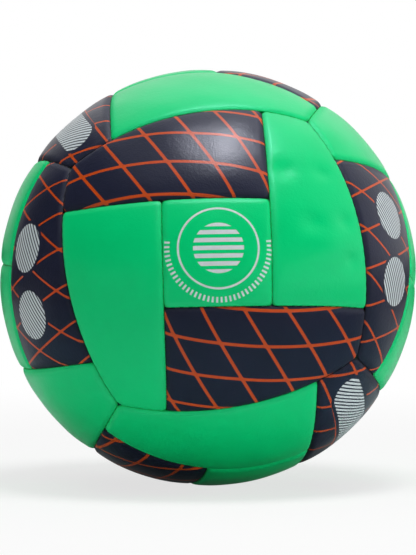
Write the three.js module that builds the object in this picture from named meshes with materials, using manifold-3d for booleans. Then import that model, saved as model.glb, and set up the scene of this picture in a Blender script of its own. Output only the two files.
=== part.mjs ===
// Handball: thirty sewn cover panels over a cloth lining, an air bladder and its needle valve.
// Millimetres, +Z up, origin at the middle of the ball, front of the ball towards -Y.
import * as THREE from 'three';
import { mergeVertices } from 'three/addons/utils/BufferGeometryUtils.js';
import Module from 'manifold-3d';

// Ball
const ballDiameter = 180; // across the crowns of the panels
const liePitch = -9.5; // degrees: how the ball lies, turned about X, then Y, then Z
const lieRoll = -11.5;
const lieYaw = 2.6;

// Panel layout: a cube's edges drawn on the ball, with a turned pinwheel on each face
const middleAngle = 30.4; // degrees across a middle panel
const pinwheelTwist = 10.2; // degrees that the pinwheel is turned against the cube's edges
const seamBow = 0.089; // how strongly the pinwheel's seams bow outwards

// Cover panels
const coverThickness = 4.6; // skin, foam and backing at a panel's crown
const pillowDrop = 0.5; // fall of the padded surface from the crown to the edge
const pillowWidth = 12; // width of that fall
const edgeDrop = 0.85; // further fall of the turned-in edge
const edgeWidth = 1.9; // width of the turned-in edge
const seamGap = 0.4; // between two panels at the surface
const seamFlare = 1.3; // how far a panel's foot stands back from its edge
const facetAngle = 14; // degrees: the most that one flat of a panel's foot spans

// Sewing and inner layers
const threadRadius = 0.45;
const threadStep = 16; // length of one straight piece of thread
const layerGap = 0.3; // between layers that lie on each other
const liningThickness = 1.0;
const bladderThickness = 1.2;

// Valve and patches
const valveRecess = 1.2; // depth of the valve's end below the crown
const boreRadius = 2.2; // of the housing's bore for the core
const headLip = 1.2; // width of the seat for the core's head
const headDepth = 2.0;
const neckWall = 1.1; // round that seat
const neckChamfer = 0.5;
const neckClearance = 0.4; // around the neck in the cover, the lining and the bladder
const flangeWidth = 8.5; // out from the neck
const flangeThickness = 1.4;
const coreClearance = 0.3;
const beadOverhang = 0.6; // how far the core's bead stands out past the bore
const beadHeight = 2.0;
const needleRadius = 1.0; // of the guide for the pump's needle
const needleDepth = 1.2;
const patchOverlap = 7; // how far the patch reaches past the flange
const patchThickness = 0.8;
const balanceRadius = 18;
const balanceThickness = 1.8;

// Fineness of the facets
const stripColumns = 8;
const panelRows = 7;
const threadSides = 3;
const roundSides = 16;
const sphereDetail = 4;
const arcSteps = 3;
const gridPasses = 3; // rounds in which a panel's columns and rows settle on each other

const wasm = await Module();
wasm.setup();

const radians = THREE.MathUtils.degToRad;
const lerp = THREE.MathUtils.lerp;
const quarterTurn = Math.PI / 2;
const ballRadius = ballDiameter / 2;
const headRadius = boreRadius + headLip;
const neckRadius = headRadius + neckWall;
const holeRadius = neckRadius + neckClearance;
const flangeRadius = neckRadius + flangeWidth;
const patchRadius = flangeRadius + patchOverlap;

const green = new THREE.MeshStandardMaterial({ color: 0x00b868, roughness: 0.5 });
const navy = new THREE.MeshStandardMaterial({ color: 0x23273a, roughness: 0.4 });
const cotton = new THREE.MeshStandardMaterial({ color: 0xd8d4c6, roughness: 0.9 });
const latex = new THREE.MeshStandardMaterial({ color: 0xc9a77a, roughness: 0.6 });
const blackRubber = new THREE.MeshStandardMaterial({ color: 0x1c1c1e, roughness: 0.7 });

// Solids and cuts

function weld(geometry) {
  geometry.deleteAttribute('normal');
  geometry.deleteAttribute('uv');
  return mergeVertices(geometry);
}

function solid(geometry) {
  const welded = weld(geometry);
  const vertProperties = new Float32Array(welded.attributes.position.array);
  const triVerts = new Uint32Array(welded.index.array);
  return new wasm.Manifold(new wasm.Mesh({ numProp: 3, vertProperties, triVerts }));
}

function geometryOf(manifold) {
  const mesh = manifold.getMesh();
  const geometry = new THREE.BufferGeometry();
  geometry.setAttribute('position', new THREE.BufferAttribute(mesh.vertProperties, 3));
  geometry.setIndex(new THREE.BufferAttribute(mesh.triVerts, 1));
  return geometry;
}

function part(name, geometry, material) {
  const mesh = new THREE.Mesh(geometry, material);
  mesh.name = name;
  return mesh;
}

// Seams of the front face: a point (across, up) on the plane that touches the ball at the face's middle

const half = Math.tan(radians(middleAngle / 2));
const twistCos = Math.cos(radians(pinwheelTwist));
const twistSin = Math.sin(radians(pinwheelTwist));

// The pinwheel's seam runs along x at the height y = half + bow (x^2 - half^2).
// Its outer end, where it meets the cube's edge, is the root of a quadratic.
const bowSin = twistSin * seamBow;
const rootTerm = 1 + twistSin * (half - seamBow * half * half);
const seamReach = (2 * rootTerm) / (twistCos + Math.sqrt(twistCos * twistCos - 4 * bowSin * rootTerm));

function facePoint(across, up) {
  return new THREE.Vector3(across, -1, up).normalize();
}

function pinwheelPoint(x, y) {
  return facePoint(twistCos * x + twistSin * y, twistCos * y - twistSin * x);
}

function bowed(x) {
  return half + seamBow * (x * x - half * half);
}

// Runs from one tangent to another in even angles
function evenAngle(from, to, share) {
  return Math.tan(lerp(Math.atan(from), Math.atan(to), share));
}

// How far along a cube's edge the pinwheel's seams meet it
const edgeEnd = twistCos * bowed(seamReach) + twistSin * seamReach;

// The four seams round a strip: below it, above it, at its narrow end and at its wide end
const stripSeams = {
  below: (s) => {
    const x = evenAngle(-seamReach, half, s);
    return pinwheelPoint(x, bowed(x));
  },
  above: (s) => facePoint(evenAngle(-1, edgeEnd, s), 1),
  left: (t) => facePoint(-1, evenAngle(edgeEnd, 1, t)),
  right: (t) => {
    const y = evenAngle(half, seamReach, t);
    return pinwheelPoint(bowed(y), y);
  },
};

// The four seams round a middle panel
const middleSeams = {
  below: (s) => {
    const x = evenAngle(-half, half, s);
    return pinwheelPoint(x, -bowed(x));
  },
  above: (s) => {
    const x = evenAngle(-half, half, s);
    return pinwheelPoint(x, bowed(x));
  },
  left: (t) => {
    const y = evenAngle(-half, half, t);
    return pinwheelPoint(-bowed(y), y);
  },
  right: (t) => {
    const y = evenAngle(-half, half, t);
    return pinwheelPoint(bowed(y), y);
  },
};

// Direction of the point (s, t) of the patch that four seams bound: the two ruled surfaces, less the
// bilinear one through the corners
function patchPoint(seams, s, t) {
  const point = new THREE.Vector3();
  point.addScaledVector(seams.below(s), 1 - t);
  point.addScaledVector(seams.above(s), t);
  point.addScaledVector(seams.left(t), 1 - s);
  point.addScaledVector(seams.right(t), s);
  point.addScaledVector(seams.below(0), -(1 - s) * (1 - t));
  point.addScaledVector(seams.below(1), -s * (1 - t));
  point.addScaledVector(seams.above(0), -(1 - s) * t);
  point.addScaledVector(seams.above(1), -s * t);
  return point.normalize();
}

// Panels

const rowOffsets = [0, edgeWidth / 2, pillowWidth / 2];

// Share of a panel's length at which a grid line runs: set distances near the edges, even between
function gridLine(index, count, length, inset) {
  const last = rowOffsets.length - 1;
  if (index <= last) {
    return (rowOffsets[index] + inset) / length;
  }
  if (index >= count - last) {
    return 1 - (rowOffsets[count - index] + inset) / length;
  }
  const first = (rowOffsets[last] + inset) / length;
  return lerp(first, 1 - first, (index - last) / (count - 2 * last));
}

function fall(distance, width) {
  return Math.max(0, 1 - distance / width) ** 2;
}

// Fall below the crown at two distances from the edges, one for each direction
function edgeFall(across, up) {
  const pillow = 1 - (1 - fall(across, pillowWidth)) * (1 - fall(up, pillowWidth));
  const edge = 1 - (1 - fall(across, edgeWidth)) * (1 - fall(up, edgeWidth));
  return pillowDrop * pillow + edgeDrop * edge;
}

const footRadius = ballRadius - coverThickness;
const footVertexRadius = footRadius / Math.cos(radians(facetAngle / 2));

// A block bent over the ball: its top is the padded outside, its bottom the foot on the lining
function panelGeometry(seams, columns, rows) {
  const geometry = weld(new THREE.BoxGeometry(1, 1, 1, columns, rows, 1));
  const place = geometry.attributes.position;
  for (let n = 0; n < place.count; n += 1) {
    const column = Math.round((place.getX(n) + 0.5) * columns);
    const row = Math.round((place.getY(n) + 0.5) * rows);
    const outside = place.getZ(n) > 0;
    const inset = seamGap / 2 + (outside ? 0 : seamFlare);
    let s = column / columns;
    let t = row / rows;
    let width = 0;
    let height = 0;
    for (let pass = 0; pass < gridPasses; pass += 1) {
      width = seams.left(t).angleTo(seams.right(t)) * ballRadius;
      s = gridLine(column, columns, width, inset);
      height = seams.below(s).angleTo(seams.above(s)) * ballRadius;
      t = gridLine(row, rows, height, inset);
    }
    const across = Math.min(s, 1 - s) * width;
    const up = Math.min(t, 1 - t) * height;
    const radius = outside ? ballRadius - edgeFall(across, up) : footVertexRadius;
    const point = patchPoint(seams, s, t).multiplyScalar(radius);
    place.setXYZ(n, point.x, point.y, point.z);
  }
  return geometry;
}

// Hole for the valve's neck, from the middle of the ball out to one side along Y
function neckHole(side) {
  const hole = new THREE.CylinderGeometry(holeRadius, holeRadius, ballDiameter, roundSides);
  return solid(hole.translate(0, (side * ballDiameter) / 2, 0));
}

const stripPanel = panelGeometry(stripSeams, stripColumns, panelRows);
const middlePanel = panelGeometry(middleSeams, panelRows, panelRows);
const valvePanel = geometryOf(solid(middlePanel.clone()).subtract(neckHole(-1)));

// Each face turns the front one into place; its strips follow clockwise from the one above the middle.
// Two opposite strips of a face are navy, so that every edge of the cube has navy on one side.
const faces = [
  { name: 'front', turn: [0, 0, 0], sides: ['upper', 'right', 'lower', 'left'], navy: ['upper', 'lower'] },
  { name: 'right', turn: [0, 0, 1], sides: ['upper', 'rear', 'lower', 'front'], navy: ['front', 'rear'] },
  { name: 'back', turn: [0, 0, 2], sides: ['upper', 'left', 'lower', 'right'], navy: ['upper', 'lower'] },
  { name: 'left', turn: [0, 0, -1], sides: ['upper', 'front', 'lower', 'rear'], navy: ['front', 'rear'] },
  { name: 'top', turn: [-1, 0, 0], sides: ['rear', 'right', 'front', 'left'], navy: ['right', 'left'] },
  { name: 'bottom', turn: [1, 0, 0], sides: ['front', 'right', 'rear', 'left'], navy: ['right', 'left'] },
];
const valveFace = 'back';

function faceGroup(face) {
  const group = new THREE.Group();
  group.rotation.set(...face.turn.map((turns) => turns * quarterTurn));
  const middle = face.name === valveFace ? valvePanel : middlePanel;
  group.add(part(`${face.name}_middle_panel`, middle, green));
  face.sides.forEach((side, turns) => {
    const colour = face.navy.includes(side) ? navy : green;
    const strip = part(`${face.name}_${side}_panel`, stripPanel, colour);
    strip.rotation.y = turns * quarterTurn;
    group.add(strip);
  });
  return group;
}

// Sewing: one thread net in the vee under the seams

const threadRadialPlace = footVertexRadius + threadRadius;

function threadRun(seam, turns, face) {
  const spin = new THREE.Quaternion().setFromEuler(new THREE.Euler(0, turns * quarterTurn, 0));
  const turn = new THREE.Euler(...face.turn.map((quarters) => quarters * quarterTurn));
  const length = seam(0).angleTo(seam(1)) * threadRadialPlace;
  const steps = Math.ceil(length / threadStep);
  const points = Array.from({ length: steps + 1 }, (_, n) =>
    seam(n / steps).multiplyScalar(threadRadialPlace).applyQuaternion(spin).applyEuler(turn),
  );
  const corners = Array.from({ length: threadSides }, (_, n) => {
    const angle = (n / threadSides) * 2 * Math.PI;
    return new THREE.Vector2(Math.cos(angle), Math.sin(angle)).multiplyScalar(threadRadius);
  });
  const outline = new THREE.Shape(corners);
  const extrudePath = new THREE.CatmullRomCurve3(points);
  return solid(new THREE.ExtrudeGeometry(outline, { steps, extrudePath }));
}

function threadNet() {
  const cubeEdge = (s) => facePoint(evenAngle(-1, 1, s), 1);
  const edgeTurns = { front: [0, 1, 2, 3], back: [0, 1, 2, 3], right: [0, 2], left: [0, 2] };
  const runs = [];
  for (const face of faces) {
    for (let turns = 0; turns < 4; turns += 1) {
      runs.push(threadRun(stripSeams.below, turns, face));
    }
    for (const turns of edgeTurns[face.name] ?? []) {
      runs.push(threadRun(cubeEdge, turns, face));
    }
  }
  return runs.reduce((net, run) => net.add(run));
}

// Lining and bladder: hollow balls, open only where the valve's neck goes through

function sphere(radius) {
  return weld(new THREE.IcosahedronGeometry(radius, sphereDetail));
}

function shell(outerRadius, thickness) {
  const inner = solid(sphere(outerRadius - thickness));
  return solid(sphere(outerRadius)).subtract(inner).subtract(neckHole(1));
}

// Least distance of a ball's flats from its middle
function flatRadius(radius) {
  const geometry = sphere(radius);
  const place = geometry.attributes.position;
  const triangle = new THREE.Triangle();
  const middle = new THREE.Vector3();
  let least = radius;
  for (let n = 0; n < geometry.index.count; n += 3) {
    triangle.setFromAttributeAndIndices(place, ...geometry.index.array.slice(n, n + 3));
    least = Math.min(least, triangle.getMidpoint(middle).length());
  }
  return least;
}

const liningRadius = footRadius - layerGap;
const bladderRadius = liningRadius - liningThickness - layerGap;
const bladderInside = flatRadius(bladderRadius - bladderThickness);

// Valve and patches, turned about Y; the valve points to +Y, out of the back of the ball

const patchOutside = bladderInside - layerGap;
const flangeOutside = patchOutside - patchThickness - layerGap;
const valveEnd = ballRadius - valveRecess;

// Points of a dome of that radius between two distances from the axis
function dome(radius, from, to) {
  return Array.from({ length: arcSteps + 1 }, (_, n) => {
    const out = lerp(from, to, n / arcSteps);
    return new THREE.Vector2(out, Math.sqrt(radius * radius - out * out));
  });
}

function turned(profile) {
  return weld(new THREE.LatheGeometry(profile, roundSides));
}

function cap(radius, thickness, hole, rim) {
  const profile = [...dome(radius - thickness, hole, rim), ...dome(radius, rim, hole)];
  if (hole > 0) {
    profile.push(profile[0]);
  }
  return turned(profile);
}

function valveHousing() {
  const seat = valveEnd - headDepth;
  const under = dome(flangeOutside - flangeThickness, boreRadius, flangeRadius);
  const profile = [
    ...under,
    ...dome(flangeOutside, flangeRadius, neckRadius),
    new THREE.Vector2(neckRadius, valveEnd - neckChamfer),
    new THREE.Vector2(neckRadius - neckChamfer, valveEnd),
    new THREE.Vector2(headRadius, valveEnd),
    new THREE.Vector2(headRadius, seat),
    new THREE.Vector2(boreRadius, seat),
    under[0],
  ];
  return turned(profile);
}

function valveCore() {
  const seat = valveEnd - headDepth + coreClearance;
  const shank = boreRadius - coreClearance;
  const head = headRadius - coreClearance;
  const bead = boreRadius + beadOverhang;
  const beadTop = flangeOutside - flangeThickness - layerGap - bead * bead / (2 * flangeOutside);
  const profile = [
    new THREE.Vector2(0, beadTop - beadHeight),
    new THREE.Vector2(shank, beadTop - beadHeight),
    new THREE.Vector2(bead, beadTop - beadHeight / 3),
    new THREE.Vector2(bead, beadTop),
    new THREE.Vector2(shank, beadTop),
    new THREE.Vector2(shank, seat),
    new THREE.Vector2(head, seat),
    new THREE.Vector2(head, valveEnd),
    new THREE.Vector2(needleRadius, valveEnd),
    new THREE.Vector2(0, valveEnd - needleDepth),
  ];
  return turned(profile);
}

// The ball

const ball = new THREE.Group();
ball.name = 'ball';
ball.rotation.set(radians(liePitch), radians(lieRoll), radians(lieYaw));
ball.add(...faces.map(faceGroup));
ball.add(part('seam_thread', geometryOf(threadNet()), cotton));
ball.add(part('lining', geometryOf(shell(liningRadius, liningThickness)), cotton));
ball.add(part('bladder', geometryOf(shell(bladderRadius, bladderThickness)), latex));
ball.add(part('valve_housing', valveHousing(), blackRubber));
ball.add(part('valve_core', valveCore(), blackRubber));
ball.add(part('valve_patch', cap(patchOutside, patchThickness, holeRadius, patchRadius), latex));

const balancePatch = part('balance_patch', cap(patchOutside, balanceThickness, 0, balanceRadius), latex);
balancePatch.rotation.x = Math.PI;
ball.add(balancePatch);

const handball = new THREE.Group();
handball.add(ball);

export default handball;
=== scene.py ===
import bpy
import numpy as np
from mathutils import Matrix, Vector


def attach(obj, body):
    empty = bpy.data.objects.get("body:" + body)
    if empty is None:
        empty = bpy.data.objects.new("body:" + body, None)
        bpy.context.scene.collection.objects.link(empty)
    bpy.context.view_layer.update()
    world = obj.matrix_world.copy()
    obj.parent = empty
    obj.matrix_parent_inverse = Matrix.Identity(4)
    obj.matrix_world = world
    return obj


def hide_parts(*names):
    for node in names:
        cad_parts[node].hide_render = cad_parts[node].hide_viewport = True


# Handball: thirty padded cover panels, their sewing, the lining, the bladder and the valve.
# Shapes are worked out in millimetres, with the front of the ball towards -Y, and put down in metres.
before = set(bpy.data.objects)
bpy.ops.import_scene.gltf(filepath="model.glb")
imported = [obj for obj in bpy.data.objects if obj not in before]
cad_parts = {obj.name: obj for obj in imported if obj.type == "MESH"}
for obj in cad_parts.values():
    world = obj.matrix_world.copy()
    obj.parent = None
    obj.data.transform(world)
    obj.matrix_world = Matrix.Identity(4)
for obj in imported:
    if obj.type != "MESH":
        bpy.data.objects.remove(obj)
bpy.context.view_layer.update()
metre = 0.001

ball = {
    "radius": 90.0,  # to the crowns of the panels
    "lie": (-9.5, -11.5, 2.6),  # degrees about X, Y and Z, each axis as turned so far
}

layout = {
    "middleAngle": 30.4,  # degrees across a middle panel
    "twist": 10.2,  # degrees between the pinwheel and the cube's edges
    "bow": 0.089,  # how strongly the pinwheel's seams bow outwards
    # a panel's middle on the pinwheel's axes, and how far to each side its length is taken
    "stripPlace": (-0.28, 0.62, 0.28),
    "middlePlace": (0.0, 0.0, 0.01),
}

cover = {
    "thickness": 4.6,
    "pillowDrop": 0.5,  # fall of the padding from the crown to the edge
    "pillowWidth": 12.0,
    "edgeDepth": 0.85,  # further fall of the turned-in edge
    "edgeWidth": 2.6,
    "cornerRadius": 2.8,
    "seamInset": 0.04,  # from the seam's middle to a panel's edge
    "footFlare": 1.3,
    "stitchPitch": 4.6,
    "stitchSwing": 0.10,  # how far the sewing draws an edge in and out
    "stitchReach": 2.0,
    "lumpHeight": 0.28,  # soft unevenness of the foam
    "lumpWaves": 7,
    "lumpLengths": (14, 36),  # of the shortest and the longest wave
    "stripLines": (96, 56),
    "middleLines": (64, 64),
    "crowding": 0.85,  # how much the grid's lines gather at the edges
    "insetRounds": 3,  # in which an even distance from the seams settles
    "flatSpan": 120.0,  # millimetres across a panel's UV square
    "fill": 0.9,
}

# Soft dents: place from the panel's middle and reach, each in millimetres along and up the panel,
# and depth, which is below 0 for a rise
dents = {
    "front_right": [
        ((-16.5, -15.7), (4.2, 6.0), 1.1),
        ((-15.1, 2.6), (3.6, 5.0), 0.9),
        ((8.3, -6.6), (4.4, 6.0), 1.1),
        ((6.8, 9.9), (3.8, 4.5), 0.9),
        ((23.8, 12.4), (3.8, 4.5), 0.9),
        ((17.8, 0.6), (8.0, 9.0), -0.7),
    ],
    "front_upper": [
        ((15.4, -4.0), (5.0, 4.0), 0.12),
        ((34.6, 1.8), (5.0, 6.0), 0.12),
    ],
}


# Turning

def axisTurn(axis, degrees):
    # the right-handed turn about one axis
    angle = np.radians(degrees)
    first, second = [(1, 2), (2, 0), (0, 1)][axis]
    turn = np.eye(3)
    turn[first, first] = turn[second, second] = np.cos(angle)
    turn[first, second] = -np.sin(angle)
    turn[second, first] = np.sin(angle)
    return turn


def eulerTurn(degrees):
    # turns about X, Y and Z in that order, each axis as turned so far
    return axisTurn(0, degrees[0]) @ axisTurn(1, degrees[1]) @ axisTurn(2, degrees[2])


lieTurn = eulerTurn(ball["lie"])

# Seams of the front face

half = np.tan(np.radians(layout["middleAngle"] / 2))
twistCos = np.cos(np.radians(layout["twist"]))
twistSin = np.sin(np.radians(layout["twist"]))


def unit(vectors):
    return vectors / np.linalg.norm(vectors, axis=-1, keepdims=True)


def facePoint(across, up):
    # a point of the plane that touches the front of the ball, drawn in to the unit ball
    across, up = np.broadcast_arrays(across, up)
    return unit(np.stack([across, -np.ones_like(across), up], -1))


def pinwheelPoint(x, y):
    # the same plane with its axes turned by the twist
    return facePoint(twistCos * x + twistSin * y, twistCos * y - twistSin * x)


def bowed(x):
    # height of a pinwheel seam: a parabola through the middle panel's corners
    return half + layout["bow"] * (x * x - half * half)


def evenAngle(start, end, share):
    # from one tangent to another in even angles
    low = np.arctan(start)
    return np.tan(low + share * (np.arctan(end) - low))


# A pinwheel seam ends at the cube's edge; how far out that is solves a quadratic
bowSin = twistSin * layout["bow"]
rootTerm = 1 + twistSin * (half - layout["bow"] * half * half)
seamReach = 2 * rootTerm / (twistCos + np.sqrt(twistCos ** 2 - 4 * bowSin * rootTerm))
edgeEnd = twistCos * bowed(seamReach) + twistSin * seamReach


def stripBelow(s):
    # a pinwheel seam, from the cube's edge to the middle panel's far corner
    x = evenAngle(-seamReach, half, s)
    return pinwheelPoint(x, bowed(x))


def stripRight(t):
    # the next pinwheel seam, from the middle panel's corner up to the cube's edge
    y = evenAngle(half, seamReach, t)
    return pinwheelPoint(bowed(y), y)


def middleSide(share, quarter):
    # one side of a middle panel, turned about the face's middle by quarters
    x = evenAngle(-half, half, share)
    return pinwheelPoint(x, bowed(x)) @ axisTurn(1, 90 * quarter).T


def cubeEdge(s):
    # the front face's upper edge, where the top face begins
    return facePoint(evenAngle(-1, 1, s), np.ones_like(s))


# Seams round the front's upper strip and its middle panel; shares run to the right and upwards
stripSeams = {
    "below": stripBelow,
    "above": lambda s: facePoint(evenAngle(-1, edgeEnd, s), np.ones_like(s)),
    "left": lambda t: facePoint(-np.ones_like(t), evenAngle(edgeEnd, 1, t)),
    "right": stripRight,
}

middleSeams = {
    "below": lambda s: middleSide(1 - s, 2),
    "above": lambda s: middleSide(s, 0),
    "left": lambda t: middleSide(t, 3),
    "right": lambda t: middleSide(1 - t, 1),
}


# Panels

def arcLength(one, other):
    # length of the great arc between two directions
    return ball["radius"] * np.arccos(np.clip((one * other).sum(-1), -1, 1))


def patchPoint(seams, s, t):
    # the two surfaces ruled between opposite seams, less the one through the corners
    start, end = np.zeros_like(s), np.ones_like(s)
    u, v = s[..., None], t[..., None]
    ruled = (1 - v) * seams["below"](s) + v * seams["above"](s)
    ruled = ruled + (1 - u) * seams["left"](t) + u * seams["right"](t)
    lower = (1 - u) * seams["below"](start) + u * seams["below"](end)
    upper = (1 - u) * seams["above"](start) + u * seams["above"](end)
    return unit(ruled - (1 - v) * lower - v * upper)


def panelSize(seams, s, t):
    # arcs from the left seam to the right one, and from the lower to the upper
    width = arcLength(seams["left"](t), seams["right"](t))
    height = arcLength(seams["below"](s), seams["above"](s))
    return width, height


def crowd(share):
    # even shares pushed towards 0 and 1 by a sine
    return share - cover["crowding"] * np.sin(2 * np.pi * share) / (2 * np.pi)


def insetShares(seams, sigma, tau, inset):
    # shares of the patch whose outer lines run at a set distance inside the seams
    s, t = sigma, tau
    for _ in range(cover["insetRounds"]):
        width, height = panelSize(seams, s, t)
        s = (inset + sigma * (width - 2 * inset)) / width
        t = (inset + tau * (height - 2 * inset)) / height
    return s, t


def softLumps(points, seed):
    # mean of a few seeded plane waves of different lengths
    draw = np.random.default_rng(seed)
    count = cover["lumpWaves"]
    ways = unit(draw.normal(size=(count, 3)))
    ways = ways * (2 * np.pi / draw.uniform(*cover["lumpLengths"], size=(count, 1)))
    starts = draw.uniform(0, 2 * np.pi, count)
    return np.sin(points @ ways.T + starts).mean(-1)


def unroll(directions, axes):
    # longitude and latitude on the panel's own axes, as millimetres along and up
    middle, along, up = axes
    across = ball["radius"] * np.arctan2(directions @ along, directions @ middle)
    height = ball["radius"] * np.arcsin(np.clip(directions @ up, -1, 1))
    return np.stack([across, height], -1)


def dentDepth(directions, axes, hollows):
    # a bell curve round each dent's place, as wide as its reach
    flat = unroll(directions, axes)
    depth = np.zeros(directions.shape[:-1])
    for place, reach, fall in hollows:
        depth = depth + fall * np.exp(-(((flat - place) / reach) ** 2).sum(-1))
    return depth


def stitchSwing(along, distance):
    # a cosine along the seam that dies away from it
    wave = np.cos(2 * np.pi * along / cover["stitchPitch"])
    return cover["stitchSwing"] * wave * np.exp(-distance / cover["stitchReach"])


def coverHeight(seams, s, t, directions, seed):
    # radius of the outside: crown, less the falls of padding and edge, plus lumps;
    # both falls are parabolas on the distance from the seams, the edge's with round corners
    width, height = panelSize(seams, s, t)
    across = np.minimum(s, 1 - s) * width - cover["seamInset"]
    up = np.minimum(t, 1 - t) * height - cover["seamInset"]
    across = across + stitchSwing(t * height + seed, across)
    up = up + stitchSwing(s * width + seed, up)
    corner = cover["cornerRadius"]
    inside = np.minimum(across, up)
    bend = corner - np.hypot(np.maximum(0, corner - across), np.maximum(0, corner - up))
    near = np.where(inside < corner, bend, inside)
    pillowAcross = np.maximum(0, 1 - across / cover["pillowWidth"]) ** 2
    pillowUp = np.maximum(0, 1 - up / cover["pillowWidth"]) ** 2
    pillow = 1 - (1 - pillowAcross) * (1 - pillowUp)
    edge = np.maximum(0, 1 - near / cover["edgeWidth"]) ** 2
    lumps = cover["lumpHeight"] * softLumps(directions * ball["radius"], seed)
    lumps = lumps * np.maximum(0, 1 - edge)
    radius = ball["radius"] - cover["pillowDrop"] * pillow - cover["edgeDepth"] * edge
    return radius + lumps, near


def panelAxes(place):
    # a panel's middle, the way along it and the way up it
    x, y, reach = place
    middle = pinwheelPoint(x, y)
    along = pinwheelPoint(x + reach, y) - pinwheelPoint(x - reach, y)
    along = unit(along - middle * (along @ middle))
    return middle, along, -np.cross(along, middle)


def flatten(directions, axes, start):
    # the unrolled place from a starting point, as shares of the UV square
    return (unroll(directions, axes) - np.array(start)) / cover["flatSpan"] + 0.5


def wallQuads(rim, foot):
    # quads between two closed loops of points, the first seen anticlockwise from outside
    return np.stack([rim, foot, np.roll(foot, -1), np.roll(rim, -1)], -1)


def gridQuads(index):
    # the four points of every cell of a grid
    cells = [index[:-1, :-1], index[1:, :-1], index[1:, 1:], index[:-1, 1:]]
    return np.stack(cells, -1).reshape(-1, 4)


def gridRim(index):
    # the outer points of a grid, once round
    return np.concatenate([index[:-1, 0], index[-1, :-1], index[:0:-1, -1], index[0, :0:-1]])


def blockPanel(seams, lines, axes, start, seed, hollows=()):
    # the padded outside and the foot on one grid of shares, with walls between their rims
    sigma, tau = np.meshgrid(*[crowd(np.linspace(0, 1, n + 1)) for n in lines], indexing="ij")
    s, t = insetShares(seams, sigma, tau, cover["seamInset"])
    top = patchPoint(seams, s, t)
    radius, near = coverHeight(seams, s, t, top, seed)
    radius = radius - dentDepth(top, axes, hollows)
    footS, footT = insetShares(seams, sigma, tau, cover["seamInset"] + cover["footFlare"])
    foot = patchPoint(seams, footS, footT)
    footRadius = ball["radius"] - cover["thickness"]
    outside = top * radius[..., None]
    points = np.concatenate([outside.reshape(-1, 3), foot.reshape(-1, 3) * footRadius])
    index = np.arange(sigma.size).reshape(sigma.shape)
    under = index + sigma.size
    quads = np.concatenate([
        gridQuads(index),
        gridQuads(under)[:, ::-1],
        wallQuads(gridRim(index), gridRim(under)),
    ])
    flat = np.concatenate([flatten(way, axes, start).reshape(-1, 2) for way in (top, foot)])
    near = np.concatenate([near.ravel(), np.zeros(sigma.size)])
    return points, quads, flat, near


valve = {
    "recess": 1.2,  # depth of the valve's end below the crown
    "holeRadius": 4.9,
    "rimWidth": 1.5,  # of the hole's rounded rim
    "rimDepth": 1.1,
    "dimpleDepth": 0.35,  # the cover dips a little towards the hole
    "dimpleWidth": 9.0,
    "ringLines": 40,  # from the hole out to the seams
}


def valvePanel(seams, lines, axes, start, seed):
    # rings of shares that run from a round hole out to the four seams, closed through the foot
    count = lines[0]
    side = crowd(np.linspace(0, 1, count + 1))[:-1]
    low, high = np.zeros(count), np.ones(count)
    rimS = np.concatenate([side, high, 1 - side, low])
    rimT = np.concatenate([low, side, high, 1 - side])
    width, height = panelSize(seams, np.array(0.5), np.array(0.5))
    away = unit(np.stack([(rimS - 0.5) * width, (rimT - 0.5) * height], -1))
    out = crowd(np.linspace(0, 1, valve["ringLines"] + 1))

    def rings(inset, hole):
        s, t = insetShares(seams, rimS, rimT, inset)
        holeS = 0.5 + away[:, 0] * hole / width
        holeT = 0.5 + away[:, 1] * hole / height
        return holeS + np.outer(out, s - holeS), holeT + np.outer(out, t - holeT)

    s, t = rings(cover["seamInset"], valve["holeRadius"])
    top = patchPoint(seams, s, t)
    radius, near = coverHeight(seams, s, t, top, seed)
    fromHole = np.hypot((s - 0.5) * width, (t - 0.5) * height) - valve["holeRadius"]
    curl = np.maximum(0, 1 - fromHole / valve["rimWidth"])
    radius = radius - valve["rimDepth"] * (1 - np.sqrt(1 - np.minimum(1, curl) ** 2))
    radius = radius - valve["dimpleDepth"] * np.maximum(0, 1 - fromHole / valve["dimpleWidth"]) ** 2
    near = np.minimum(near, np.abs(fromHole))
    footS, footT = rings(cover["seamInset"] + cover["footFlare"], valve["holeRadius"])
    foot = patchPoint(seams, footS, footT)
    footRadius = ball["radius"] - cover["thickness"]
    loops = np.concatenate([top * radius[..., None], foot[::-1] * footRadius])
    index = np.arange(loops.shape[0] * loops.shape[1]).reshape(loops.shape[:2])
    nextRow, nextColumn = np.roll(index, -1, 0), np.roll(index, -1, 1)
    quads = np.stack([index, nextRow, np.roll(nextRow, -1, 1), nextColumn], -1).reshape(-1, 4)
    flat = np.concatenate([flatten(way, axes, start).reshape(-1, 2) for way in (top, foot[::-1])])
    near = np.concatenate([near.ravel(), np.zeros(near.size)])
    return loops.reshape(-1, 3), quads, flat, near


# Meshes

def outward(points, faces):
    # turns every face round if the body they close has a negative volume
    corners = np.concatenate([
        face[:, [0, k, k + 1]] for face in faces for k in range(1, face.shape[1] - 1)])
    a, b, c = (points[corners[:, k]] for k in range(3))
    volume = (a * np.cross(b, c)).sum()
    return faces if volume > 0 else [face[:, ::-1] for face in faces]


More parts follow.
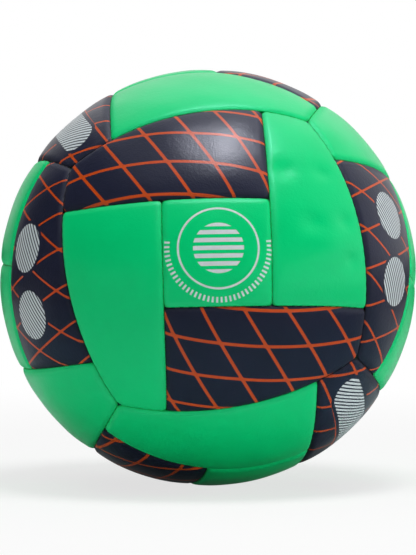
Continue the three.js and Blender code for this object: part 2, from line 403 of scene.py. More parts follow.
def putMesh(name, points, faces, flat=None, near=None):
    # arrays of quads and triangles become one smooth mesh, with its UV map and edge distance
    faces = outward(points, [face for face in faces if len(face)])
    corners = np.concatenate([face.ravel() for face in faces]).astype(np.int32)
    sizes = np.concatenate([np.full(len(face), face.shape[1]) for face in faces])
    starts = np.concatenate([[0], np.cumsum(sizes)[:-1]]).astype(np.int32)
    mesh = bpy.data.meshes.new(name)
    mesh.vertices.add(len(points))
    mesh.vertices.foreach_set("co", (points @ lieTurn.T * metre).astype(np.float32).ravel())
    mesh.loops.add(len(corners))
    mesh.loops.foreach_set("vertex_index", corners)
    mesh.polygons.add(len(sizes))
    mesh.polygons.foreach_set("loop_start", starts)
    mesh.polygons.foreach_set("use_smooth", np.ones(len(sizes), bool))
    mesh.update(calc_edges=True)
    if flat is not None:
        layer = mesh.uv_layers.new(name="flatPanel")
        layer.data.foreach_set("uv", flat[corners].astype(np.float32).ravel())
    if near is not None:
        field = mesh.attributes.new("seamDistance", "FLOAT", "POINT")
        field.data.foreach_set("value", near.astype(np.float32))
    mesh.validate()
    piece = bpy.data.objects.new(name, mesh)
    bpy.context.scene.collection.objects.link(piece)
    return piece


def settle(piece, node, material):
    # the finish, the CAD node that the piece stands for, which is hidden, and its body
    piece.data.materials.append(material)
    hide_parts(node)
    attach(piece, "root")


# Shader sums

class Sock:
    # one socket of a node tree; sums of sockets and numbers add Math nodes
    def __init__(self, tree, link=None):
        self.tree = tree
        self.link = link

    # a node from its type, its settings and the values or links of its sockets
    def node(self, kind, settings=None, sockets=None, out=0):
        made = self.tree.nodes.new(kind)
        for name, value in (settings or {}).items():
            setattr(made, name, value)
        for name, value in (sockets or {}).items():
            if isinstance(value, Sock):
                self.tree.links.new(value.link, made.inputs[name])
            else:
                made.inputs[name].default_value = value
        return Sock(self.tree, made.outputs[out] if len(made.outputs) else None)

    # several named outputs of the same node
    def outputs(self, *names):
        return [Sock(self.tree, self.link.node.outputs[name]) for name in names]

    def math(self, operation, *values):
        return self.node("ShaderNodeMath", {"operation": operation}, dict(enumerate(values)))

    def __add__(self, other):
        return self.math("ADD", self, other)

    def __radd__(self, other):
        return self.math("ADD", other, self)

    def __sub__(self, other):
        return self.math("SUBTRACT", self, other)

    def __rsub__(self, other):
        return self.math("SUBTRACT", other, self)

    def __mul__(self, other):
        return self.math("MULTIPLY", self, other)

    def __rmul__(self, other):
        return self.math("MULTIPLY", other, self)

    def __truediv__(self, other):
        return self.math("DIVIDE", self, other)

    def __abs__(self):
        return self.math("ABSOLUTE", self)


def newMaterial(name):
    material = bpy.data.materials.new(name)
    material.use_nodes = True
    material.node_tree.nodes.clear()
    return material, Sock(material.node_tree)


def colour(red, green, blue):
    # a colour given as screen values from 0 to 255, made linear
    values = np.array([red, green, blue]) / 255
    linear = np.where(values <= 0.04045, values / 12.92, ((values + 0.055) / 1.055) ** 2.4)
    return (*[float(v) for v in linear], 1.0)


def mixed(share, one, other):
    # sockets 6 and 7 of a Mix node take its colours, and output 2 gives the mix
    return share.node("ShaderNodeMix", {"data_type": "RGBA"}, {0: share, 6: one, 7: other}, 2)


def rise(value, ends):
    # a smooth step from 0 at the first end to 1 at the other
    return value.node("ShaderNodeMapRange", {"interpolation_type": "SMOOTHSTEP"},
                      {"Value": value, "From Min": ends[0], "From Max": ends[1]})


printFade = 0.14  # millimetres to each side of a printed edge


def within(distance, edge, soft=printFade):
    # 1 where a distance is under the edge, 0 past it
    return rise(distance, (edge + soft, edge - soft))


def noise(place, scale, detail=3.0):
    sockets = {"Vector": place, "Scale": scale, "Detail": detail}
    return place.node("ShaderNodeTexNoise", None, sockets)


def bumped(height, depth, under=None):
    # a Bump node whose height of 1 stands that many metres out, on top of another's normal
    sockets = {"Height": height, "Distance": depth, "Strength": 1.0}
    if under is not None:
        sockets["Normal"] = under
    return height.node("ShaderNodeBump", None, sockets)


def surface(start, sockets):
    shader = start.node("ShaderNodeBsdfPrincipled", None, sockets)
    start.node("ShaderNodeOutputMaterial", None, {"Surface": shader})


def objectPlace(start):
    return start.node("ShaderNodeTexCoord", None, None, "Object")


# Cover finish

skin = {
    "green": colour(0, 204, 119),
    "greenDeep": colour(0, 196, 112),
    "greenGloss": (0.42, 1.0, 1.0, 1.0),  # tint of the gloss seen square on
    "greenLevel": 0.7,  # and its strength
    # painted shade in the grooves of the seams, one tone for the green panels and one for the navy
    "greenSeam": colour(0, 165, 62),
    "navy": colour(33, 36, 56),
    "navyDeep": colour(27, 30, 46),
    "navyGloss": (0.85, 0.87, 1.0, 1.0),
    "navyLevel": 0.5,
    "navySeam": colour(8, 9, 13),
    "orange": colour(193, 74, 17),
    "orangeWorn": colour(180, 66, 13),
    "silver": colour(200, 210, 212),
    "seamShade": 0.75,  # how far the colour turns to the painted seam shade
    "seamShadeWidth": 0.5,
    "pit": colour(3, 44, 28),  # painted shade: the dark where a corner is drawn in
    "pitEdge": -0.4,
    "toneScale": 45.0,  # of the drift between the two tones
    "inkScale": 900.0,  # of the wear in the printed lines
    "roughness": 0.28,
    "unevenness": 0.04,  # further roughness where the tone is deep,
    "inkDullness": 0.02,  # on the printed lines,
    "silverDullness": 0.04,  # on the silver marks
    "edgeDullness": 0.27,  # and along the turned-in edges
    "dullWidth": 4.5,
    "grainScale": 1500.0,
    "grainSmoothness": 0.6,
    "grainDepth": 0.00004,  # metres
    "poreScale": 620.0,
    "poreDepth": 0.00006,
    "creaseScale": 150.0,
    "creaseDepth": 0.00006,
    "fineDetail": 2.0,  # of the noise in pores and creases
}

# Printed nets: the sides of one mesh along the first and second run of lines, its sharp corner
# and the turn of the first run from the strip's length, both in degrees, the width of the lines
# and how far they swell where they cross
nets = {
    "net": {"sides": (19.8, 19.2), "corner": 53.2, "turn": -8.35, "lineWidth": 1.32, "fillet": 0.9},
    "discs": {"sides": (20.0, 20.0), "corner": 52.4, "turn": 111.5, "lineWidth": 0.92, "fillet": 0.9},
    "bar": {"sides": (20.0, 20.0), "corner": 52.4, "turn": 51.5, "lineWidth": 1.1, "fillet": 0.9},
}

# Silver marks that stand on two of the nets
hatch = {
    "pitch": 1.7,
    "lineWidth": 1.0,
    "degrees": 35.0,
    "margin": 1.6,  # left clear of the net round a mark
    "discPlaces": ((26.0, -7.5), (54.8, -5.6)),
    "discRadius": 10.5,
    "barPlace": (12.0, 9.0),
    "barSize": (79.0, 15.0),
}


def flatPlace(start):
    # millimetres along and up the panel, from its UV map
    uv = start.node("ShaderNodeUVMap", {"uv_map": "flatPanel"})
    across, up = start.node("ShaderNodeSeparateXYZ", None, {"Vector": uv}).outputs("X", "Y")
    return (across - 0.5) * cover["flatSpan"], (up - 0.5) * cover["flatSpan"]


def lineDistance(across, up, degrees, spacing):
    # distance from the nearest of a set of parallel lines at that angle
    angle = np.radians(degrees)
    height = across * float(-np.sin(angle)) + up * float(np.cos(angle))
    share = height / spacing + 0.5
    return abs(share.math("FRACT", share) - 0.5) * spacing


def netMask(across, up, net):
    # two sets of lines a sharp angle apart, joined by a smooth minimum
    first, second = [side * float(np.sin(np.radians(net["corner"]))) for side in net["sides"]]
    one = lineDistance(across, up, net["turn"], second)
    other = lineDistance(across, up, net["turn"] - net["corner"], first)
    lines = one.math("SMOOTH_MIN", one, other, net["fillet"])
    return within(lines, net["lineWidth"] / 2)


def hatchMask(across, up):
    lines = lineDistance(across, up, hatch["degrees"], hatch["pitch"])
    return within(lines, hatch["lineWidth"] / 2)


def stepLength(x, y):
    # root of the sum of the squares
    square = x * x + y * y
    return square.math("SQRT", square)


def coverMaterial(name, light, deep, gloss, level, seamShadeTone, prints):
    # grained synthetic leather: two tones, the printed marks, painted shade along the seams and in
    # drawn-in corners, and a soft uneven grain
    material, start = newMaterial(name)
    place = objectPlace(start)
    tone = noise(place, skin["toneScale"])
    base = mixed(tone, light, deep)
    rough = tone * skin["unevenness"] + skin["roughness"]
    for mask, ink, dullness in prints(start, place):
        base = mixed(mask, base, ink)
        rough = rough + mask * dullness
    near = start.node("ShaderNodeAttribute", {"attribute_name": "seamDistance"}, None, "Fac")
    edge, seam = skin["dullWidth"] / 2, skin["seamShadeWidth"] / 2
    rough = rough + within(near, edge, edge) * skin["edgeDullness"]
    # painted shade: the colour darkens towards the seams' grooves
    base = mixed(within(near, seam, seam) * skin["seamShade"], base, seamShadeTone)
    # painted shade in the recess outside a rounded corner
    base = mixed(within(near, skin["pitEdge"]), base, skin["pit"])
    crease = noise(place, skin["creaseScale"], skin["fineDetail"])
    pores = noise(place, skin["poreScale"], skin["fineDetail"])
    grain = start.node(
        "ShaderNodeTexVoronoi", {"feature": "SMOOTH_F1"},
        {"Vector": place, "Scale": skin["grainScale"], "Smoothness": skin["grainSmoothness"]})
    normal = bumped(crease, skin["creaseDepth"])
    normal = bumped(pores, skin["poreDepth"], normal)
    normal = bumped(grain, skin["grainDepth"], normal)
    surface(start, {"Base Color": base, "Roughness": rough, "Normal": normal,
                    "Specular Tint": gloss, "Specular IOR Level": level})
    return material


def noPrints(start, place):
    return []


def netPrints(net, fillers=()):
    # the orange net, kept clear of the silver marks that stand on it
    def prints(start, place):
        across, up = flatPlace(start)
        lines = netMask(across, up, net)
        silver = None
        for shape in fillers:
            mark, clear = shape(across, up)
            lines = lines * (1 - clear)
            silver = mark if silver is None else silver.math("MAXIMUM", silver, mark)
        worn = noise(place, skin["inkScale"])
        ink = mixed(worn, skin["orange"], skin["orangeWorn"])
        made = [(lines, ink, skin["inkDullness"])]
        if silver is not None:
            made.append((silver, skin["silver"], skin["silverDullness"]))
        return made
    return prints


# A filler gives its hatched mark, and the field round it that the net leaves clear

def hatchedDisc(point, radius):
    def shape(across, up):
        away = stepLength(across - point[0], up - point[1])
        mark = within(away, radius) * hatchMask(across, up)
        return mark, within(away, radius + hatch["margin"])
    return shape


def hatchedBar(point, size):
    # a bar with round ends: distance from a short line
    def shape(across, up):
        past = abs(across - point[0]) - (size[0] - size[1]) / 2
        past = past.math("MAXIMUM", past, 0.0)
        away = stepLength(past, up - point[1])
        mark = within(away, size[1] / 2) * hatchMask(across, up)
        return mark, within(away, size[1] / 2 + hatch["margin"])
    return shape


badge = {
    "middle": (0.4, 1.4),
    "ringRadius": 16.9,
    "ringWidth": 0.85,
    "tickRadius": 21.7,
    "tickLength": 2.4,
    "tickStep": 5.0,  # degrees
    "tickWidth": 0.85,
    "tickTop": 3.6,  # height over the badge's middle at which the ticks end
    "discRadius": 10.6,
    "stripePitch": 3.3,
    "stripeWidth": 1.8,
}


def badgePrints(start, place):
    # a ring, a striped disc in it and an arc of short ticks below
    across, up = flatPlace(start)
    x, y = across - badge["middle"][0], up - badge["middle"][1]
    away = stepLength(x, y)
    ring = within(abs(away - badge["ringRadius"]), badge["ringWidth"] / 2)
    stripes = lineDistance(x, y, 0.0, badge["stripePitch"])
    disc = within(away, badge["discRadius"]) * within(stripes, badge["stripeWidth"] / 2)
    step = float(np.radians(badge["tickStep"]))
    bearing = x.math("ARCTAN2", x, y) / step
    aside = abs(bearing.math("FRACT", bearing) - 0.5) * (step * badge["tickRadius"])
    ticks = within(aside, badge["tickWidth"] / 2)
    ticks = ticks * within(abs(away - badge["tickRadius"]), badge["tickLength"] / 2)
    ticks = ticks * within(y, badge["tickTop"])
    mark = ring.math("MAXIMUM", ring, disc)
    mark = mark.math("MAXIMUM", mark, ticks)
    return [(mark, skin["silver"], skin["silverDullness"])]


fillers = {
    "discs": [hatchedDisc(point, hatch["discRadius"]) for point in hatch["discPlaces"]],
    "bar": [hatchedBar(hatch["barPlace"], hatch["barSize"])],
}

greenTones, navyTones = (
    [skin[tone + part] for part in ("", "Deep", "Gloss", "Level", "Seam")] for tone in ("green", "navy"))
finishes = {
    "green": coverMaterial("coverGreen", *greenTones, noPrints),
    "badge": coverMaterial("coverGreenBadge", *greenTones, badgePrints),
    "net": coverMaterial("coverNavyNet", *navyTones, netPrints(nets["net"])),
    "discs": coverMaterial("coverNavyDiscs", *navyTones, netPrints(nets["discs"], fillers["discs"])),
    "bar": coverMaterial("coverNavyBar", *navyTones, netPrints(nets["bar"], fillers["bar"])),
}

# Each face turns the front one into place by quarters; its strips follow clockwise
faces = {
    "front": ((0, 0, 0), ("upper", "right", "lower", "left")),
    "right": ((0, 0, 1), ("upper", "rear", "lower", "front")),
    "back": ((0, 0, 2), ("upper", "left", "lower", "right")),
    "left": ((0, 0, -1), ("upper", "front", "lower", "rear")),
    "top": ((-1, 0, 0), ("rear", "right", "front", "left")),
    "bottom": ((1, 0, 0), ("front", "right", "rear", "left")),
}

# A navy strip's print starts at a point of its own, in millimetres from the strip's middle
printStart = {
    "net": (-29.1, -19.1),
    "discs": (-35.4, -0.4),
    "bar": (-12.5, -11.7),
}

navyStrips = {
    "front_upper": "net",
    "front_lower": "net",
    "back_upper": "net",
    "back_lower": "net",
    "top_right": "net",
    "bottom_left": "net",
    "left_front": "discs",
    "left_rear": "net",
    "right_front": "discs",
    "right_rear": "net",
    "top_left": "bar",
    "bottom_right": "bar",
}

registerShift = {  # how far single prints sit from the common start
    "front_upper": (0.25, 0.2),
    "front_lower": (-0.25, -0.3),
    "right_front": (0.0, 2.6),
}


def putPanel(node, shape, turn, finish):
    points, quads, flat, near = shape
    piece = putMesh(node.replace("_panel", "_cover"), points @ turn.T, [quads], flat, near)
    settle(piece, node, finishes[finish])


def putFace(face, number):
    # the middle panel and its strips, each with a seed of its own
    turns, sides = faces[face]
    faceTurn = eulerTurn([90 * quarter for quarter in turns])
    firstSeed = number * (len(sides) + 1)
    make = valvePanel if face == "back" else blockPanel
    middle = make(middleSeams, cover["middleLines"], panelAxes(layout["middlePlace"]), (0, 0), firstSeed)
    finish = "badge" if face == "front" else "green"
    putPanel(f"{face}_middle_panel", middle, faceTurn, finish)
    axes = panelAxes(layout["stripPlace"])
    for quarter, side in enumerate(sides):
        name = f"{face}_{side}"
        finish = navyStrips.get(name, "green")
        start = np.array(printStart.get(finish, (0, 0))) + registerShift.get(name, (0, 0))
        seed = firstSeed + quarter + 1
        strip = blockPanel(stripSeams, cover["stripLines"], axes, start, seed, dents.get(name, ()))
        putPanel(f"{name}_panel", strip, faceTurn @ axisTurn(1, 90 * quarter), finish)


for number, face in enumerate(faces):
    putFace(face, number)
print("cover panels:", sum(len(sides) + 1 for turns, sides in faces.values()))

# Sewing

thread = {
    "radius": 0.26,
    "swing": 0.3,  # of the twisted run to each side
    "pitch": 3.8,
    "place": 86.35,  # distance from the middle of the ball
    "sides": 6,
    "step": 0.75,
    "ends": 0.015,  # share of a seam left free at each end
    "taper": 1.5,  # length over which an end thins out
    "tip": 0.2,
    "colour": colour(38, 48, 50),
    "fibre": colour(70, 84, 84),
    "fibreScale": 2500.0,
    "fibreDepth": 0.00005,  # metres
    "roughness": 0.5,
    "unevenness": 0.2,
}


def threadRun(seam, turn):
    # a round section carried along a helix that winds about the seam, drawn to a point at both ends
    length = float(arcLength(seam(np.array(0.0)), seam(np.array(1.0))))
    share = np.linspace(thread["ends"], 1 - thread["ends"], int(length / thread["step"]))
    middle = seam(share) @ turn.T
    ahead = unit(np.gradient(middle, axis=0))
    aside = np.cross(middle, ahead)
    winding = (share * length * 2 * np.pi / thread["pitch"])[:, None]
    swing = thread["swing"] * (aside * np.cos(winding) + middle * np.sin(winding))
    path = middle * thread["place"] + swing
    angle = np.linspace(0, 2 * np.pi, thread["sides"], endpoint=False)[None, :, None]
    fromEnd = np.minimum(share, 1 - share) * length
    radius = thread["radius"] * np.minimum(1, fromEnd / thread["taper"])[:, None, None]
    rings = path[:, None] + radius * (aside[:, None] * np.cos(angle) + middle[:, None] * np.sin(angle))
    return closedTube(rings, path[0] - ahead[0] * thread["tip"], path[-1] + ahead[-1] * thread["tip"])


def closedTube(rings, first, last):
    # rings joined along the tube, with a fan of triangles to a point at each end
    rows, sides = rings.shape[:2]
    index = np.arange(rows * sides).reshape(rows, sides)
    ahead = np.roll(index, -1, 1)
    quads = np.stack([index[:-1], ahead[:-1], ahead[1:], index[1:]], -1).reshape(-1, 4)
    head, tail = rows * sides, rows * sides + 1
    fans = [
        np.stack([np.full(sides, head), ahead[0], index[0]], -1),
        np.stack([np.full(sides, tail), index[-1], ahead[-1]], -1),
    ]
    return np.concatenate([rings.reshape(-1, 3), [first, last]]), quads, np.concatenate(fans)


def joined(bodies):
    # several bodies' arrays as one
    counts = np.cumsum([0] + [len(body[0]) for body in bodies])
    points = np.concatenate([body[0] for body in bodies])
    quads = np.concatenate([body[1] + first for body, first in zip(bodies, counts)])
    triangles = np.concatenate([body[2] + first for body, first in zip(bodies, counts)])
    return points, quads, triangles


def threadMaterial():
    # twisted fibres in two tones
    material, start = newMaterial("waxedThread")
    fibre = noise(objectPlace(start), thread["fibreScale"])
    surface(start, {
        "Base Color": mixed(fibre, thread["colour"], thread["fibre"]),
        "Roughness": fibre * thread["unevenness"] + thread["roughness"],
        "Normal": bumped(fibre, thread["fibreDepth"]),
    })
    return material


# Each cube edge is sewn once, from the face that is listed
edgeQuarters = {"front": range(4), "back": range(4), "right": (0, 2), "left": (0, 2)}
runs = []
for face, (turns, sides) in faces.items():
    faceTurn = eulerTurn([90 * quarter for quarter in turns])
    for quarter in range(4):
        runs.append(threadRun(stripSeams["below"], faceTurn @ axisTurn(1, 90 * quarter)))
    for quarter in edgeQuarters.get(face, ()):
        runs.append(threadRun(cubeEdge, faceTurn @ axisTurn(1, 90 * quarter)))
points, quads, triangles = joined(runs)
settle(putMesh("seam_stitching", points, [quads, triangles]), "seam_thread", threadMaterial())
print("sewing runs:", len(runs))

# Turned pieces: lining, bladder, valve and patches, about the line through the valve

inner = {
    "gap": 0.15,
    "liningThickness": 1.0,
    "bladderThickness": 1.2,
    "patchThickness": 0.8,
    "patchRadius": 20.0,
    "balanceThickness": 1.8,
    "balanceRadius": 18.0,
    "sides": 96,
    "ballSteps": 90,  # points of a hollow ball's outside and of its inside
    "capSteps": 24,
    "cornerSteps": 6,
    "cornerShare": 0.45,  # of a side that a rounded corner takes up at most
}

valveBody = {
    "boreRadius": 2.2,
    "headRadius": 3.4,
    "headDepth": 2.0,
    "neckRadius": 4.5,
    "rounding": 0.5,
    "flangeRadius": 13.0,
    "flangeThickness": 1.4,
    "clearance": 0.12,
    "beadRadius": 2.8,
    "beadHeight": 2.0,
    "needleRadius": 0.75,
    "needleDepth": 1.6,
    "needleTaper": 0.7,  # how much of its width the needle's cone keeps
    "lipRadius": 1.7,  # of the raised lip round the needle's way
    "lipHeight": 0.25,
    "lipFoot": (0.35, 0.1),  # out from the lip and down from the core's end
    "mouth": (0.3, 0.2),  # how far the needle's way opens out, and how deep
    "headBevel": 0.3,
    "coreRounding": 0.22,
    "nearAxis": 0.01,
}


def revolve(profile, sides, loop):
    # a profile of (distance, height) turned about Y; a loop closes on itself, any other ends on the axis
    angle = np.linspace(0, 2 * np.pi, sides, endpoint=False)
    body = profile if loop else profile[1:-1]
    rings = np.stack([
        np.outer(body[:, 0], np.cos(angle)),
        np.repeat(body[:, 1:], sides, 1),
        np.outer(body[:, 0], np.sin(angle)),
    ], -1)
    if not loop:
        ends = [np.array([0.0, profile[end, 1], 0.0]) for end in (0, -1)]
        return closedTube(rings, *ends)
    index = np.arange(rings.shape[0] * sides).reshape(rings.shape[:2])
    ahead, below = np.roll(index, -1, 1), np.roll(index, -1, 0)
    quads = np.stack([index, ahead, np.roll(below, -1, 1), below], -1).reshape(-1, 4)
    return rings.reshape(-1, 3), quads, np.zeros((0, 3), int)


def dome(radius, start, end, steps):
    # points of an arc about the ball's middle, from one distance off the axis to another
    angles = np.linspace(np.arcsin(start / radius), np.arcsin(end / radius), steps)
    return np.stack([radius * np.sin(angles), radius * np.cos(angles)], -1)


def rounded(corners, radius):
    # each corner of a closed outline swapped for a parabola between points a set distance along its sides
    corners = np.array(corners, float)
    back, on = np.roll(corners, 1, 0) - corners, np.roll(corners, -1, 0) - corners
    backLength = np.linalg.norm(back, axis=1, keepdims=True)
    onLength = np.linalg.norm(on, axis=1, keepdims=True)
    start = corners + back * np.minimum(inner["cornerShare"], radius / backLength)
    end = corners + on * np.minimum(inner["cornerShare"], radius / onLength)
    share = np.linspace(0, 1, inner["cornerSteps"])[None, :, None]
    curve = (1 - share) ** 2 * start[:, None] + 2 * share * (1 - share) * corners[:, None]
    curve = curve + share ** 2 * end[:, None]
    return curve.reshape(-1, 2)


def hollowBall(radius, thickness):
    # outside from the far pole to the hole, and the inside back again
    hole = valve["holeRadius"]
    low, high = np.arcsin(hole / radius), np.arcsin(hole / (radius - thickness))
    outside = np.linspace(np.pi, low, inner["ballSteps"])
    inside = np.linspace(high, np.pi, inner["ballSteps"])
    shell = [radius * np.stack([np.sin(outside), np.cos(outside)], -1)]
    shell.append((radius - thickness) * np.stack([np.sin(inside), np.cos(inside)], -1))
    return np.concatenate(shell)


liningRadius = ball["radius"] - cover["thickness"] - inner["gap"]
bladderRadius = liningRadius - inner["liningThickness"] - inner["gap"]
patchRadius = bladderRadius - inner["bladderThickness"] - inner["gap"]
flangeTop = patchRadius - inner["patchThickness"] - inner["gap"]
valveEnd = ball["radius"] - valve["recess"]


def capProfile(radius, thickness, hole, rim):
    # inside of a shallow cap from its hole to its rim, and the outside back again
    inside = dome(radius - thickness, hole, rim, inner["capSteps"])
    return np.concatenate([inside, dome(radius, rim, hole, inner["capSteps"])])


def housingProfile():
    # flange inside the bladder, neck up through the cover, and the stepped bore
    body = valveBody
    flangeEnd = float(np.sqrt(flangeTop ** 2 - body["flangeRadius"] ** 2))
    neckFoot = float(np.sqrt(flangeTop ** 2 - body["neckRadius"] ** 2))
    seat = valveEnd - body["headDepth"]
    under = flangeTop - body["flangeThickness"]
    return rounded([
        (body["boreRadius"], under),
        (body["flangeRadius"], flangeEnd - body["flangeThickness"]),
        (body["flangeRadius"], flangeEnd),
        (body["neckRadius"], neckFoot),
        (body["neckRadius"], valveEnd),
        (body["headRadius"], valveEnd),
        (body["headRadius"], seat),
        (body["boreRadius"], seat),
    ], body["rounding"])


def coreProfile():
    # head, shank and bead of the pressed-in core, with a lip and a cone for the needle
    body = valveBody
    shank = body["boreRadius"] - body["clearance"]
    head = body["headRadius"] - body["clearance"]
    seat = valveEnd - body["headDepth"] + body["clearance"]
    beadTop = flangeTop - body["flangeThickness"] - body["clearance"]
    beadFoot = beadTop - body["beadHeight"]
    lipTop = valveEnd + body["lipHeight"]
    coneEnd = valveEnd - body["needleDepth"]
    outline = rounded([
        (body["nearAxis"], beadFoot),
        (shank, beadFoot),
        (body["beadRadius"], beadTop - body["beadHeight"] / 3),
        (body["beadRadius"], beadTop),
        (shank, beadTop),
        (shank, seat),
        (head, seat),
        (head, valveEnd - body["headBevel"]),
        (body["lipRadius"] + body["lipFoot"][0], valveEnd - body["lipFoot"][1]),
        (body["lipRadius"], lipTop),
        (body["needleRadius"] + body["mouth"][0], lipTop),
        (body["needleRadius"], valveEnd - body["mouth"][1]),
        (body["needleRadius"] * body["needleTaper"], coneEnd),
        (body["nearAxis"], coneEnd),
    ], body["coreRounding"])
    steps = inner["cornerSteps"]  # the first and last corner give way to points on the axis
    return np.concatenate([[(0.0, beadFoot)], outline[steps:-steps], [(0.0, coneEnd)]])


cloth = {
    "light": colour(222, 217, 204),
    "deep": colour(190, 184, 168),
    "weaveScale": 260.0,
    "weaveDepth": 0.0001,  # metres
    "yarnScale": 320.0,
    "roughness": 0.8,
    "unevenness": 0.1,
}


def liningMaterial():
    # plain weave: two crossed waves on the cloth, with uneven yarn
    material, start = newMaterial("clothLining")
    place = objectPlace(start)
    wave = {"Vector": place, "Scale": cloth["weaveScale"]}
    warp, weft = (start.node("ShaderNodeTexWave", {"bands_direction": way}, wave) for way in ("X", "Z"))
    height = warp.math("MAXIMUM", warp, weft)
    surface(start, {
        "Base Color": mixed(noise(place, cloth["yarnScale"]), cloth["light"], cloth["deep"]),
        "Roughness": height * cloth["unevenness"] + cloth["roughness"],
        "Normal": bumped(height, cloth["weaveDepth"]),
    })
    return material


rubber = {
    "latex": (colour(201, 167, 122), colour(182, 148, 104)),
    "valve": (colour(28, 28, 30), colour(44, 44, 46)),
    "bloomScale": 160.0,
    "grainScale": 3000.0,
    "grainDepth": 0.00003,  # metres
    "roughness": 0.5,
    "unevenness": 0.15,
}


def rubberMaterial(name, tones):
    # moulded rubber: a faint bloom and a fine moulded grain
    material, start = newMaterial(name)
    place = objectPlace(start)
    bloom = noise(place, rubber["bloomScale"])
    surface(start, {
        "Base Color": mixed(bloom, *tones),
        "Roughness": bloom * rubber["unevenness"] + rubber["roughness"],
        "Normal": bumped(noise(place, rubber["grainScale"]), rubber["grainDepth"]),
    })
    return material


latexFinish = rubberMaterial("latex", rubber["latex"])
valveFinish = rubberMaterial("valveRubber", rubber["valve"])


def putTurned(name, node, material, profile, loop, flip=False):
    points, quads, triangles = revolve(profile, inner["sides"], loop)
    if flip:
        points = points @ axisTurn(0, 180).T
    settle(putMesh(name, points, [quads, triangles]), node, material)


putTurned("cloth_lining", "lining", liningMaterial(),
          hollowBall(liningRadius, inner["liningThickness"]), False)
putTurned("air_bladder", "bladder", latexFinish,
          hollowBall(bladderRadius, inner["bladderThickness"]), False)
putTurned("valve_neck", "valve_housing", valveFinish, housingProfile(), True)
putTurned("valve_plug", "valve_core", valveFinish, coreProfile(), False)
putTurned("valve_seal", "valve_patch", latexFinish,
          capProfile(patchRadius, inner["patchThickness"], valve["holeRadius"], inner["patchRadius"]),
          True)
putTurned("counterweight", "balance_patch", latexFinish,
          capProfile(patchRadius, inner["balanceThickness"], 0.0, inner["balanceRadius"]), False, True)
print("inner pieces done")

# Floor, light and camera

ground = {  # metres are from the ball's middle
    "floorSize": 60.0,
    "paint": colour(246, 246, 246),
    "under": colour(150, 150, 150),  # painted shadow: a darker floor tone under the ball
    "underShadeFade": (0.05, 0.13),  # metres over which the painted shadow ends
    "glow": 0.72,  # share of plain white that the camera sees in the floor by the ball
    "glowFade": (0.15, 0.6),  # metres over which it turns white
    "near": colour(76, 122, 124),  # tone in which the gloss shows the floor by the ball
    "far": colour(30, 30, 30),  # and away from it
    "farFade": (0.12, 0.6),
    "sweepStart": (-0.05, 0.15),  # metres behind it over which the gloss sees a white sweep begin
    "sweepEnd": (0.3, 1.2),
    "sweepLight": 0.42,
}


def rayKinds(start):
    # 1 for rays from the camera, and 1 for rays from a gloss or through glass
    camera, glossy, through = start.node("ShaderNodeLightPath").outputs(
        "Is Camera Ray", "Is Glossy Ray", "Is Transmission Ray")
    return camera, glossy.math("MAXIMUM", glossy, through)


def floorMaterial():
    # matt paint that takes the ball's shadow, with a painted shadow under the ball, and white light in it
    # for the camera and the gloss
    material, start = newMaterial("paleFloor")
    camera, mirrored = rayKinds(start)
    place = objectPlace(start)
    away = start.node("ShaderNodeVectorMath", {"operation": "LENGTH"}, {0: place}, "Value")
    behind = start.node("ShaderNodeSeparateXYZ", None, {"Vector": place}, "Y")
    # painted shadow: the floor's paint darkens under the ball, which also dims the bounce onto the ball's
    # underside
    paint = mixed(rise(away, ground["underShadeFade"]), ground["under"], ground["paint"])
    shown = mixed(rise(away, ground["farFade"]), ground["near"], ground["far"])
    tone = mixed(mirrored, paint, shown)
    plain = start.node("ShaderNodeBsdfDiffuse", None, {"Color": tone})
    glow = start.node("ShaderNodeEmission", None, {"Color": (1, 1, 1, 1), "Strength": 1.0})
    seen = rise(away, ground["glowFade"]) * (1 - ground["glow"]) + ground["glow"]
    sweep = rise(behind, ground["sweepStart"]) * (1 - rise(away, ground["sweepEnd"]))
    sweep = sweep * ground["sweepLight"]
    share = camera * seen + mirrored * sweep
    both = start.node("ShaderNodeMixShader", None, {0: share, 1: plain, 2: glow})
    start.node("ShaderNodeOutputMaterial", None, {"Surface": both})
    return material


def putFloor():
    side = ground["floorSize"] / 2
    level = -ball["radius"] * metre
    corners = [(-side, -side, level), (side, -side, level), (side, side, level), (-side, side, level)]
    mesh = bpy.data.meshes.new("floor")
    mesh.from_pydata(corners, [], [(0, 1, 2, 3)])
    mesh.materials.append(floorMaterial())
    floor = bpy.data.objects.new("floor", mesh)
    bpy.context.scene.collection.objects.link(floor)


room = {
    "worldLight": 0.02,
    "backdropWay": (0.6, 0.75, 0.25),  # towards the white backdrop, and away from the dark room
    "backdropEdge": (0.1, 0.7),  # cosines from that way over which the room turns into it
    "backdropLight": 0.7,
    "darkLight": 0.02,
}


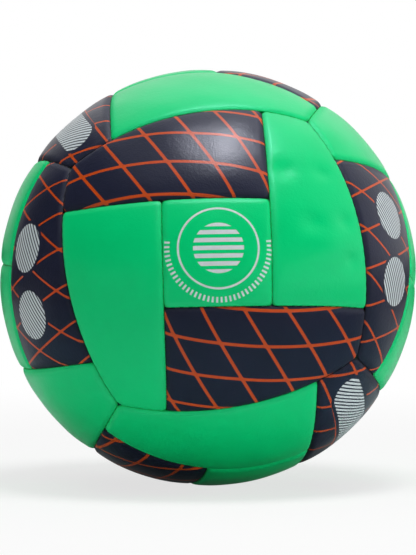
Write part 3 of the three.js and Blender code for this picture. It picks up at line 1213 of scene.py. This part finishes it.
def putWorld():
    # white for the camera, a backdrop in a dark room for the gloss, and a little light for the rest
    world = bpy.data.worlds.new("studio")
    bpy.context.scene.world = world
    world.use_nodes = True
    world.node_tree.nodes.clear()
    start = Sock(world.node_tree)
    camera, mirrored = rayKinds(start)
    way = start.node("ShaderNodeTexCoord", None, None, "Generated")
    facing = start.node("ShaderNodeVectorMath", {"operation": "DOT_PRODUCT"},
                        {0: way, 1: Vector(room["backdropWay"]).normalized()}, "Value")
    white = rise(facing, room["backdropEdge"])
    backdrop = white * (room["backdropLight"] - room["darkLight"]) + room["darkLight"]
    strength = mirrored * (backdrop - room["worldLight"]) + room["worldLight"]
    strength = camera.math("MAXIMUM", camera, strength)
    light = start.node("ShaderNodeBackground", None, {"Color": (1, 1, 1, 1), "Strength": strength})
    start.node("ShaderNodeOutputWorld", None, {"Surface": light})


def aim(thing, place, target):
    # put down at a place, looking along -Z at the target
    thing.location = place
    thing.rotation_euler = (Vector(target) - Vector(place)).to_track_quat("-Z", "Y").to_euler()
    bpy.context.scene.collection.objects.link(thing)


softboxes = [  # place, width and length in metres, watts, and whether it shows in the gloss
    ((0.0, 0.05, 0.95), (1.4, 1.4), 2.8, True),
    ((0.0, -0.35, 0.9), (1.2, 0.7), 1.3, False),
    ((0.115, -0.2, 0.93), (0.37, 0.32), 6.2, True),
    ((0.05, 0.9, 0.85), (1.4, 0.9), 1.1, True),
    ((-1.05, -0.65, 0.0), (1.4, 0.16), 3.8, False),
    ((1.05, -0.65, 0.0), (1.4, 0.16), 7.0, False),
    ((-1.05, 0.75, 0.0), (1.4, 0.16), 3.5, False),
    ((1.05, 0.75, 0.0), (1.4, 0.16), 3.5, False),
]


def putLights():
    for number, (place, size, watts, shows) in enumerate(softboxes):
        lamp = bpy.data.lights.new(f"softbox{number}", "AREA")
        lamp.shape = "RECTANGLE"
        lamp.size, lamp.size_y = size
        lamp.energy = watts
        holder = bpy.data.objects.new(lamp.name, lamp)
        holder.visible_glossy = shows
        aim(holder, place, (0.0, 0.0, 0.0))


view = {
    "distance": 2.034,  # metres
    "elevation": 3.0,  # degrees
    "lens": 304.7,  # millimetres
    "sensorWidth": 36.0,
    "clipEnd": 200.0,
    "target": (0.0, 0.0, 0.0),
}


def putCamera():
    camera = bpy.data.cameras.new("camera")
    camera.lens = view["lens"]
    camera.sensor_width = view["sensorWidth"]
    camera.clip_end = view["clipEnd"]
    angle = np.radians(view["elevation"])
    target = Vector(view["target"])
    place = target + view["distance"] * Vector((0.0, -float(np.cos(angle)), float(np.sin(angle))))
    holder = bpy.data.objects.new("camera", camera)
    aim(holder, place, target)
    bpy.context.scene.camera = holder


putFloor()
putWorld()
putLights()
putCamera()
bpy.context.scene.view_settings.view_transform = "Standard"
print("studio done")
